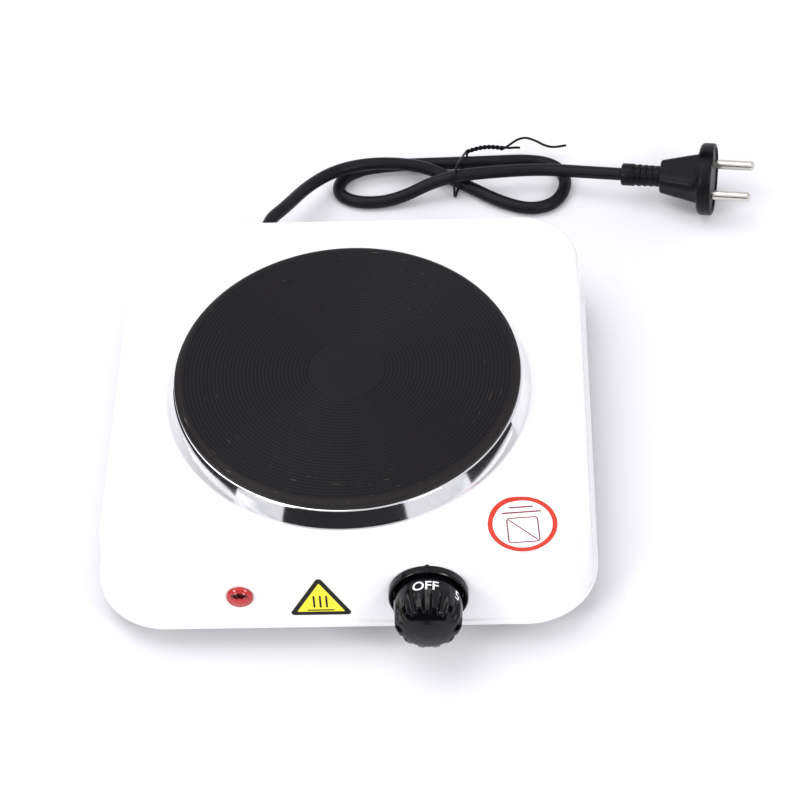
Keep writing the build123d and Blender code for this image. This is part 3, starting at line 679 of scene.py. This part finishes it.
def jewelled(angle, radius, height):
    """Lets the dome sink a little between its ridges: depth times the squared sine of half the number of
    facets times the angle, only inside radius 4."""
    mask = smooth((4.1 - radius) / 1.2) * smooth(radius / 1.2) * smooth(height / 1.5)
    return radius, height - FACET_DEEP * np.sin(FACETS / 2 * angle) ** 2 * mask


lens_front = rounded((0, 3.5, 0), (1.6, 3.45, 4), (3.9, 2.55, 1.0), (4.4, 1.9, 0.3), (5.1, 1.85, 0.35),
                     (5.75, 1.1, 0.5), (5.8, 0, 0.15), (4.2, 0.0, 0.1), fine=9)
lens_sleeve = rounded((4.2, -0.4, 0), (4.2, -12, 0.2), (3.4, -12, 0.2), (3.4, 0.2, 0.3), (0, 0.9, 0))
lens = np.concatenate([divided(lens_front, 0.4), lens_sleeve])

# %% Clear red plastic, with painted shade
def clear_red_with_painted_shade():
    """Red plastic with painted shade: darkened where the eye looks past the bulb into the unlit sleeve, high
    on the dome by the height above the axis, and inside the flange by the distance from the axis."""
    material = mottled("red_plastic_with_painted_shade", (0.42, 0.004, 0.006), (0.58, 0.014, 0.016), 900, (0.06, 0.14),
                       0.000008, IOR=1.49, Coat_Weight=0.3, Coat_Roughness=0.04, Transmission_Weight=0.2)
    tree = material.node_tree
    base = tree.nodes["Principled BSDF"].inputs["Base Color"]
    place = tree.nodes.new("ShaderNodeTexCoord").outputs["Object"]
    from_axis = node(tree, "VectorMath", {"operation": "SUBTRACT"}, i0=place, i1=tuple(LAMP_AT)).outputs[0]
    along_wall = [node(tree, "VectorMath", {"operation": "DOT_PRODUCT"}, i0=from_axis, i1=tuple(way))
                  for way in WALL[:2]]
    across, upward = (step.outputs["Value"] for step in along_wall)
    squares = math(tree, "ADD", math(tree, "POWER", across, 2.0), math(tree, "POWER", upward, 2.0))
    # painted shade: a dark crescent high on the dome and inside the flange, for the unlit sleeve behind it
    painted_throat_shade = math(tree, "MULTIPLY", ranged(tree, upward, 0.0, 0.95, 1.3 * MM, 2.1 * MM),
                  ranged(tree, math(tree, "SQRT", squares), 1.0, 0.0, 3.9 * MM, 4.5 * MM))
    shade = node(tree, "Mix", {"data_type": "RGBA"}, Factor=painted_throat_shade)
    tree.links.new(base.links[0].from_socket, shade.inputs["A"])
    # colour of the painted shade
    shade.inputs["B"].default_value = (0.02, 0.001, 0.002, 1)
    tree.links.new(shade.outputs["Result"], base)
    return material


red = clear_red_with_painted_shade()
piece("red_lens", [turned(lens, LAMP_AT, WALL, 192, jewelled)], red, "housing", ["lamp_lens"],
      sharp=40)

# %% [markdown]
# ## The two film signs
#
# The heat sign is a yellow triangle with a black border, and the round one has an orange-red border with
# an empty rounded square and a bar across it. Their fields hold only plain bars. Each colour is a thin
# patch of its own, a few hundredths of a millimetre above the last, as printed layers are, and the round
# film follows the slope of the pressed field that it lies on.

# %% Strips and rims of printed film
def polygon(side, radius, fine=12.0):
    """Corners of an upright triangle with that side, rounded, about its centre: a closed outline."""
    tall = side * np.sqrt(3) / 2
    return rounded((-side / 2, -tall / 3, radius), (side / 2, -tall / 3, radius), (0, tall * 2 / 3, radius),
                   closed=True, fine=fine)


def band(outer, inner, low, high):
    """Flat closed band between two outlines with the same number of points: out, in, and its two faces."""
    ring = [np.c_[outer, 0 * outer[:, 0] + low], np.c_[outer, 0 * outer[:, 0] + high],
            np.c_[inner, 0 * inner[:, 0] + high], np.c_[inner, 0 * inner[:, 0] + low]]
    return np.stack(ring, 1)


def sheet_of(outline, low, high, rings=1):
    """Flat closed sheet: its outline shrunk in steps to its middle, on both faces."""
    middle = outline.mean(0)
    share = np.linspace(0, 1, rings + 1)[None, :, None]
    flat = middle + (outline[:, None] - middle) * share
    upper = np.concatenate([flat, np.full(flat.shape[:2] + (1,), high)], -1)
    lower = np.concatenate([flat, np.full(flat.shape[:2] + (1,), low)], -1)
    return np.concatenate([upper, lower[:, ::-1]], 1)


def bar(centre, length, thick, tilt, low, high):
    """Closed outline of a round-ended bar, made into a flat sheet."""
    t = np.radians(tilt)
    box = rounded((-length / 2, -thick / 2, thick * 0.45), (length / 2, -thick / 2, thick * 0.45),
                  (length / 2, thick / 2, thick * 0.45), (-length / 2, thick / 2, thick * 0.45), closed=True)
    turned_box = box @ np.array([[np.cos(t), np.sin(t)], [-np.sin(t), np.cos(t)]])
    return sheet_of(turned_box + np.array(centre), low, high)


# %% Heat sign
sign_low, sign_high = (np.array(v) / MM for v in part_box("heat_label"))
SIGN_SIDE, SIGN_UP = 28.0, -4.9
YELLOW, PRINTED = 0.10, 0.15                   # heights of the yellow film and of the print on it
SIGN_AT = on_wall((sign_low + sign_high)[0] / 2 - KNOB_AT[0] / MM, SIGN_UP)
film_yellow = mottled("yellow_film", (0.80, 0.68, 0.012), (0.86, 0.76, 0.025), 500, (0.28, 0.4), 0.00001)
film_black = mottled("black_print", (0.003, 0.003, 0.003), (0.007, 0.006, 0.007), 900, (0.3, 0.45),
                     0.00001, Specular_IOR_Level=0.2)


def on_sign(grid):
    """Lays a flat film, in mm about the heat sign's middle, on the front wall."""
    return grid * MM @ WALL + SIGN_AT


triangle = polygon(SIGN_SIDE, 1.6)
piece("yellow_sign", [(on_sign(sheet_of(triangle, 0, YELLOW)), (True, False))], film_yellow, "housing",
      ["heat_label"])
marks = [(on_sign(band(triangle, polygon(SIGN_SIDE - 7.2, 0.4), YELLOW, PRINTED)), (True, True))]
marks += [(on_sign(bar((x, 0.3), 7.4, 0.85, 90, YELLOW, PRINTED)), (True, False)) for x in (-2.7, 0, 2.7)]
marks += [(on_sign(bar((0, -5.0), 11.4, 0.7, 0, YELLOW, PRINTED)), (True, False))]
piece("sign_print", marks, film_black, "housing")

# %% Round sign
round_low, round_high = (np.array(v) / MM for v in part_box("caution_label"))
ROUND_AT, ROUND_R = (round_low + round_high)[:2] / 2, (round_high - round_low)[0] / 2
ROUND_TILT, UNDER_FILM = np.radians(4), 0.02
WHITE, INK_LOW, INK_HIGH, RIM_HIGH = 0.08, 0.11, 0.16, 0.17   # heights of the film and of its two inks


def circle(radius, count=180):
    """Points evenly round a circle about the sign's middle."""
    angle = np.linspace(0, 2 * np.pi, count, endpoint=False)
    return np.c_[radius * np.cos(angle), radius * np.sin(angle)]


def on_field(grid):
    """Lays a flat film, in mm about the sign's middle, on the pressed field: adds the field's own height."""
    c, s = np.cos(ROUND_TILT), np.sin(ROUND_TILT)
    x = ROUND_AT[0] + grid[..., 0] * c - grid[..., 1] * s
    y = ROUND_AT[1] + grid[..., 0] * s + grid[..., 1] * c
    top = SHELL_TOP - sunk(x - PLATE_AT[0], y - PLATE_AT[1])
    return np.stack([x, y, top + grid[..., 2] + UNDER_FILM], -1) * MM


def square(half, radius):
    """Closed outline of a rounded square about the sign's middle."""
    return rounded((-half, -half, radius), (half, -half, radius), (half, half, radius),
                   (-half, half, radius), closed=True)


film_white = mottled("white_film", (0.88, 0.88, 0.89), (0.94, 0.94, 0.95), 500, (0.25, 0.35), 0.00001)
film_red = mottled("orange_red_print", (0.52, 0.020, 0.004), (0.58, 0.028, 0.007), 600, (0.3, 0.4), 0.00001)
film_maroon = mottled("maroon_print", (0.16, 0.010, 0.022), (0.24, 0.022, 0.040), 600, (0.3, 0.4), 0.00001)
piece("round_sign", [(on_field(sheet_of(circle(ROUND_R), 0, WHITE, 24)), (True, False))], film_white,
      "housing", ["caution_label"])
inked = [(on_field(band(circle(ROUND_R), circle(ROUND_R - 2.1), INK_LOW, RIM_HIGH)), (True, True))]
piece("round_sign_border", inked, film_red, "housing")

SQUARE_DROP, SQUARE_HALF, SQUARE_LINE, SQUARE_ROUND = 3.2, 6.9, 0.6, 1.7
square_line = band(square(SQUARE_HALF, SQUARE_ROUND),
                   square(SQUARE_HALF - SQUARE_LINE, SQUARE_ROUND - SQUARE_LINE), INK_LOW, INK_HIGH)
thin = [(on_field(square_line - np.array([0, SQUARE_DROP, 0])), (True, True))]
BARS = ((-SQUARE_DROP, 16.4, 0.55, -45), (9.2, 10.6, 0.8, 0), (6.4, 17.0, 0.8, 0))
for middle_up, length, thick, tilt in BARS:
    thin.append((on_field(bar((0, middle_up), length, thick, tilt, INK_LOW, INK_HIGH)), (True, False)))
piece("round_sign_print", thin, film_maroon, "housing")

# %% [markdown]
# ## Strain relief, plug and pins
#
# The relief is a tapered rubber sleeve pushed through the rear wall, with a collar on each side. The
# plug is one moulding whose section changes along its axis, from a round ribbed neck to a flattened body
# and then a round face with two notches. A single grid makes it: along the axis, the reach of each ray
# is taken from a rounded rectangle whose half sizes and corner radius are given at a few stations. Where
# those three are the same number, the section is a circle.

# %% Relief
relief_low, relief_high = (np.array(v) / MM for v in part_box("cord_relief"))
RELIEF_IN, RELIEF_END = relief_low[1], relief_high[1]
EXIT = CORD_ROUTE[0] / MM
WALL_AT = RELIEF_IN + 7.5
REARWARD = np.array([[1, 0, 0], [0, 0, -1], [0, 1, 0]], float)
sleeve = [(0, RELIEF_IN, 0), (6.35, RELIEF_IN, 0.5), (6.35, WALL_AT - 2.2, 0.4), (4.5, WALL_AT - 2.2, 0.1),
          (4.5, WALL_AT + 1.2, 0.1), (6.2, WALL_AT + 1.2, 0.4), (6.2, WALL_AT + 3.2, 0.6),
          (4.9, WALL_AT + 4.4, 0.6)]
for k in range(4):
    rib = WALL_AT + 5.4 + 2.2 * k
    sleeve += [(4.75 - 0.12 * k, rib, 0.2), (4.15 - 0.10 * k, rib + 0.3, 0.15),
               (4.15 - 0.10 * k, rib + 0.9, 0.15), (4.70 - 0.12 * k, rib + 1.2, 0.2)]
sleeve += [(3.9, RELIEF_END, 0.5), (0, RELIEF_END, 0)]
piece("ribbed_relief", [turned(rounded(*sleeve), (EXIT[0] * MM, 0, EXIT[2] * MM), REARWARD, 96)], sheath,
      "housing", ["cord_relief"], sharp=50)

# %% Plug
pins = {m["name"]: m for m in frame["record"]["mounts"] if m["kind"] == "pin"}
pin_ends = np.array([pins["plug_pin_front"]["pos_m"], pins["plug_pin_rear"]["pos_m"]])
PLUG_OUT = np.array(pins["plug_pin_front"]["axis"], float)
PLUG_OUT /= np.linalg.norm(PLUG_OUT)
ACROSS = pin_ends[1] - pin_ends[0]
ACROSS -= (ACROSS @ PLUG_OUT) * PLUG_OUT
ACROSS /= np.linalg.norm(ACROSS)
PLUG = np.stack([ACROSS, np.cross(PLUG_OUT, ACROSS), PLUG_OUT])
NECK, SHOULDER, FACE, FACE_R = 19.5, 39.0, 46.5, 18.0
PLUG_AT = CORD_ROUTE[-1]



def circles(*pairs):
    """Stations with a round section, from (place along the axis, radius) pairs."""
    return [(place, radius, radius, radius) for place, radius in pairs]


stations = circles((0, 0), (0, 4.9), (0.35, 5.45), (0.9, 5.6), (6.4, 5.6))
for k in range(4):
    low, size = 6.6 + 3.1 * k, 5.5 - 0.08 * k
    stations += circles((low, size), (low + 0.15, 4.5), (low + 1.45, 4.5), (low + 1.6, size),
                        (low + 2.9, size))
stations += [(NECK, 5.2, 5.2, 5.2), (NECK + 0.05, 6.8, 5.9, 3.6), (NECK + 0.6, 7.5, 6.5, 4.0)]
stations += [(NECK + 0.6 + (SHOULDER - NECK - 0.6) * t, 7.5 + 4.25 * t, 6.5 + 2.0 * t, 4.0 + 1.0 * t)
             for t in (0.1, 0.25, 0.5, 0.75, 0.97)]
stations += [(SHOULDER, 12.2, 9.0, 5.2)]
stations += circles((SHOULDER + 0.05, 16.0), (SHOULDER + 0.4, 17.0), (SHOULDER + 1.3, 17.8),
                    (SHOULDER + 2.2, FACE_R), (FACE - 1.0, FACE_R), (FACE - 0.3, 17.7), (FACE, 17.0),
                    (FACE, 16.2), (FACE - 0.9, 15.9), (FACE - 0.9, 0))
stations = np.array(stations, float)
PLUG_RAYS = 288
angle = np.linspace(0, 2 * np.pi, PLUG_RAYS, endpoint=False)[:, None]
plug_reach = np.zeros((PLUG_RAYS, len(stations)))
for k, (_, half_x, half_y, corner_radius) in enumerate(stations):
    plug_reach[:, k] = reach(angle[:, 0], 0.0, (half_x, half_y), corner_radius, (0, 0)) if half_x else 0
along = stations[None, :, 0] + 0 * angle
is_neck = (along > 6.5) & (along < NECK)
side_web = smooth((np.abs(np.cos(angle)) - 0.80) / 0.08)
plug_reach = np.where(is_neck, np.maximum(plug_reach, 5.15 * side_web), plug_reach)
notch = smooth((0.21 - np.abs(np.abs(np.arctan2(np.sin(angle), np.cos(angle))) - np.pi / 2)) / 0.03)
cut = notch * smooth((along - SHOULDER + 0.1) / 0.1) * (plug_reach > 15.95)
plug_reach = plug_reach - cut * np.minimum(2.6, plug_reach - 15.6)
plug_grid = np.stack([plug_reach * np.cos(angle), plug_reach * np.sin(angle), along], -1)
plastic = mottled("moulded_black_plastic", (0.0025, 0.0025, 0.0036), (0.0055, 0.0055, 0.0072), 1100,
                  (0.30, 0.44), 0.00003, Specular_IOR_Level=0.13)
piece("moulded_plug", [(plug_grid * MM @ PLUG + PLUG_AT, (True, False))], plastic, "housing",
      ["plug_body"], sharp=40)

# %% [markdown]
# ## The wire tie
#
# A plastic-covered wire goes once round all three runs of the lead, and its two ends are twisted four
# turns together before they part. The loop and tails are tubes along smooth curves through a few points;
# the twist is a pair of helices: each strand circles the line between knot and parting, half a turn
# behind the other.

# %% Tie
TIE_X, TIE_LEAN, WIRE = 53.0, 0.24, 0.62
TIE_REAR, TIE_FRONT, TIE_LOW = 203.4, 176.6, 0.72
KNOT, PARTING, TWISTS = np.array([53.0, 203.4, 7.9]), np.array([71.5, 204.8, 8.6]), 4.25


def through(points, count):
    """Catmull-Rom curve through the points: each span is the usual cubic of its four neighbours, in
    `count` steps."""
    points = np.array(points, float)
    ends = np.concatenate([2 * points[:1] - points[1:2], points, 2 * points[-1:] - points[-2:-1]])
    t = np.linspace(0, 1, count, endpoint=False)[:, None]
    spans = [0.5 * (2 * b + (c - a) * t + (2 * a - 5 * b + 4 * c - d) * t**2 + (3 * b - a - 3 * c + d) * t**3)
             for a, b, c, d in zip(ends, ends[1:], ends[2:], ends[3:])]
    return np.concatenate(spans + [points[-1:]])


loop = rounded((TIE_REAR, TIE_LOW, 2.4), (TIE_REAR, 8.8, 2.6), (185, 17, 3.4), (TIE_FRONT, 16.6, 3.4),
               (TIE_FRONT, TIE_LOW, 2.4), closed=True, fine=20)
loop = np.c_[TIE_X - TIE_LEAN * (TIE_REAR - loop[:, 0]), loop]
s = np.linspace(0, 1, 90)[:, None]
line_of_twist = KNOT + (PARTING - KNOT) * s + np.array([0, 1.2, 0.8]) * np.sin(np.pi * s)
patches = [tube(loop, WIRE, closed=True)]
tails = ([(74.5, 204.9, 8.5), (77.5, 205.3, 8.3), (80.4, 205.5, 8)],
         [(74.5, 206.4, 8.8), (77, 208.8, 8.9), (80.2, 211.5, 8.6), (84, 212.5, 8.2), (88.6, 210.8, 7.6),
          (92.8, 208, 7.2), (97.6, 206.9, 6.6), (104.2, 208.2, 6.4)])
for k, tail in enumerate(tails):
    spin = 2 * np.pi * TWISTS * s + np.pi * k
    strand = line_of_twist + WIRE * np.concatenate([0 * s, np.cos(spin), np.sin(spin)], 1)
    patches.append(tube(through(np.concatenate([strand[::4], tail]), 4), WIRE, steps=12))
piece("wire_tie", patches, plastic, "housing", ["twist_tie"], sharp=60)

# %% [markdown]
# ## Finishes of the pieces that keep the design's own shape
#
# Feet, base cover, screws, the element under the plate, the thermostat and the wiring already have the
# right form, so they only need their real surfaces. A table gives each of them a finish: zinc-plated steel
# with its faint spangle, moulded rubber, fired ceramic, rolled brass, oxidised heating wire and so on.

# %% Finishes for steel, ceramic, brass and wire
zinc = mottled("zinc_plated_steel", (0.48, 0.48, 0.45), (0.66, 0.66, 0.64), 220, (0.28, 0.46), 0.00001,
               Metallic=1.0)
nickel = mottled("nickel_plate", (0.60, 0.575, 0.53), (0.74, 0.72, 0.67), 240, (0.14, 0.26), 0.000006,
                 Metallic=1.0, stretch=(0.2, 1, 1))
aluminium = mottled("aluminium_sheet", (0.66, 0.66, 0.67), (0.80, 0.80, 0.81), 300, (0.3, 0.42), 0.000008,
                    Metallic=1.0, stretch=(0.1, 1, 1))
brass = mottled("rolled_brass", (0.56, 0.40, 0.14), (0.74, 0.56, 0.24), 300, (0.25, 0.4), 0.000008,
                Metallic=1.0)
oxidised = mottled("oxidised_heating_wire", (0.10, 0.09, 0.085), (0.22, 0.20, 0.18), 900, (0.5, 0.7),
                   0.00003, Metallic=0.7)
bright_strip = mottled("bimetal_strip", (0.42, 0.38, 0.33), (0.56, 0.52, 0.47), 500, (0.3, 0.45), 0.00001,
                       Metallic=1.0)
fired_clay = mottled("fired_ceramic", (0.72, 0.69, 0.62), (0.84, 0.81, 0.75), 500, (0.6, 0.85), 0.00004)
cement = mottled("magnesia_cement", (0.52, 0.49, 0.44), (0.68, 0.65, 0.60), 700, (0.8, 0.95), 0.0001)
rubber = mottled("foot_rubber", (0.018, 0.018, 0.018), (0.035, 0.034, 0.033), 800, (0.6, 0.8), 0.00004)
cream = mottled("cream_plastic", (0.70, 0.68, 0.60), (0.80, 0.78, 0.71), 500, (0.4, 0.55), 0.00002)
brown = mottled("brown_insulation", (0.10, 0.035, 0.015), (0.17, 0.065, 0.03), 700, (0.4, 0.55), 0.00002)
blue = mottled("blue_insulation", (0.015, 0.06, 0.22), (0.03, 0.10, 0.33), 700, (0.4, 0.55), 0.00002)
bulb_glass = mottled("bulb_glass", (0.90, 0.80, 0.72), (0.97, 0.90, 0.84), 400, (0.03, 0.08), 0.000004,
                     Transmission_Weight=0.85, IOR=1.5)

# %% Which node has which finish
FINISHES = {
    zinc: "base_cover screw_pillars foot_screws element_cover centre_stud cover_nut shield_nut clamp_bar "
          "bar_washer bar_nut thermostat_bracket thermostat_shaft stack_rivet bezel_screws saddle_screws "
          "terminal_screws lamp_retainer element_pins knob_clip",
    nickel: "plug_pins",
    aluminium: "heat_shield",
    brass: "contact_arm fixed_contact terminal_inserts",
    oxidised: "outer_heating_coil middle_heating_coil inner_heating_coil",
    bright_strip: "bimetal_strip",
    fired_clay: "pin_beads stack_insulators terminal_block thermostat_plunger thermal_fuse",
    cement: "insulation_cement",
    rubber: "foot_front_left foot_front_right foot_rear_left foot_rear_right",
    cream: "lamp_cap cord_saddle",
    brown: "live_wire live_core switched_wire",
    blue: "neutral_wire neutral_core fuse_wire",
    sheath: "cord_tail power_cord cord_relief",
    bulb_glass: "neon_bulb",
    enamel: "top_shell", iron: "cooking_plate", chrome: "trim_ring", phenolic: "knob knob_bezel",
    red: "lamp_lens", film_yellow: "heat_label", film_white: "caution_label", plastic: "plug_body twist_tie",
}
finished = 0
for finish, names in FINISHES.items():
    for name in names.split():
        cad_node = frame["nodes"][name]
        cad_node.data.materials.clear()
        cad_node.data.materials.append(finish)
        finished += 1
print(finished, "of", len(frame["nodes"]), "nodes of the design have a finish")

# %% [markdown]

# %% [markdown]
# ## Floor and light
#
# The object stands on a plain white floor. One very large soft light from above on the left gives the
# short shadows to the right, two small ones in front light the gaps between the cards, and the white
# surroundings do the rest. Chrome would show only white in such a room, so three dark cards stand low
# round the sides and the front, as in a studio: they are seen in mirror-like reflections alone.

# %% Floor
def flat_sheet(name, corners, finish):
    """Plain four-cornered sheet that is not part of the object."""
    mesh = bpy.data.meshes.new(name)
    mesh.from_pydata(corners, [], [(0, 1, 2, 3)])
    mesh.materials.append(finish)
    made = bpy.data.objects.new(name, mesh)
    scene.collection.objects.link(made)
    return made


FLOOR = 4.0
paper = mottled("white_paper", (0.76, 0.76, 0.785), (0.775, 0.775, 0.80), 40, (0.7, 0.8), 0.00001,
                Specular_IOR_Level=0.2)
flat_sheet("floor", [(-FLOOR, -FLOOR, 0), (FLOOR, -FLOOR, 0), (FLOOR, FLOOR, 0), (-FLOOR, FLOOR, 0)], paper)

# %% Dark cards for the chrome
card_black = mottled("card_black", (0.004, 0.004, 0.005), (0.010, 0.010, 0.012), 60, (0.8, 0.9), 0.00001)
CARD_AWAY, CARD_FOOT = 0.30, 0.001
CARDS = ((183, 31, 30), (268, 29, 32), (349, 18, 26))       # bearing, half width and height, in degrees
for k, (bearing, half_width, high) in enumerate(CARDS):
    ends = [np.radians(bearing + side * half_width) for side in (-1, 1)]
    feet = [(CARD_AWAY * np.cos(a), PLATE_AT[1] * MM + CARD_AWAY * np.sin(a)) for a in ends]
    tall = SHELL_TOP * MM + CARD_AWAY * np.tan(np.radians(high))
    corners = [(*feet[0], CARD_FOOT), (*feet[1], CARD_FOOT), (*feet[1], tall), (*feet[0], tall)]
    card = flat_sheet(f"card_{k}", corners, card_black)
    card.visible_camera = card.visible_diffuse = card.visible_shadow = card.visible_transmission = False

# %% Lights
def soft_light(name, place, size, power, aim=(0, 0, 0.03)):
    """Square area light at a place, in metres, turned to its aim."""
    lamp = bpy.data.lights.new(name, "AREA")
    lamp.shape, lamp.size, lamp.energy = "SQUARE", size, power
    made = bpy.data.objects.new(name, lamp)
    made.location = place
    made.rotation_mode = "QUATERNION"
    made.rotation_quaternion = (Vector(place) - Vector(aim)).to_track_quat("Z", "Y")
    scene.collection.objects.link(made)
    return made


soft_light("overhead_left", (-0.5, 0.25, 1.5), 1.3, 12.0)
soft_light("front_left", (-1.0, -1.05, 1.0), 0.5, 9.0)
soft_light("front_right", (0.95, -0.95, 1.0), 0.4, 8.0)
world = bpy.data.worlds.new("white_room")
world.use_nodes = True
room = world.node_tree.nodes["Background"].inputs
room["Color"].default_value, room["Strength"].default_value = (0.96, 0.965, 1.0, 1), 0.88
scene.world = world
scene.view_settings.view_transform = "Standard"
print("lights and room are set")
